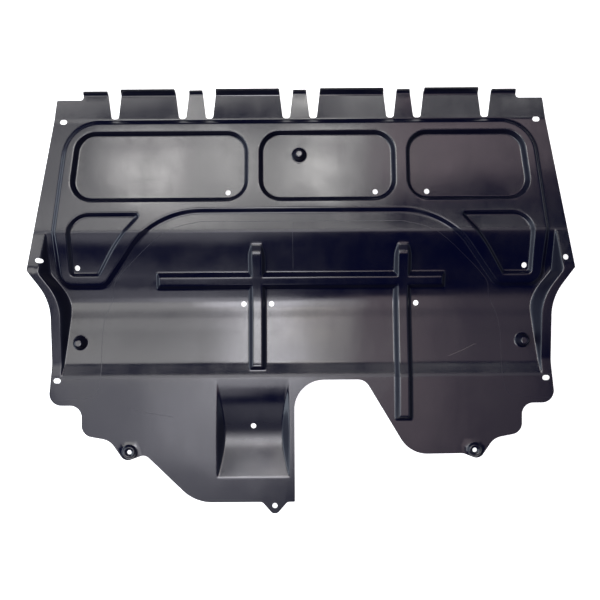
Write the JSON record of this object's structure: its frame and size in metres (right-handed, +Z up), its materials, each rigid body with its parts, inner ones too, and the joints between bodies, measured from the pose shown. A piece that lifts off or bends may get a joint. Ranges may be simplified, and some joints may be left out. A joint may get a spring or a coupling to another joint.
{
  "type": "engine splash shield",
  "caption": "Wide formed sheet that closes the underside of an engine bay, with pockets, ribs, raised sides, a tunnel and a cut-out at the rear.",
  "frame": {"origin": "under the middle of the part's outline, on the surface it rests on", "axes": "+X across the car to the side with the cut-out, +Y to the front edge with the tabs, +Z up to the engine side"},
  "size_m": [0.9444, 0.7441, 0.0455],
  "materials": {
    "black_plastic": "satin, from the mould on the lower face and slightly glossier on the upper"
  },
  "bodies": {
    "root": {"splash_shield": "black_plastic"}
  },
  "joints": []
}
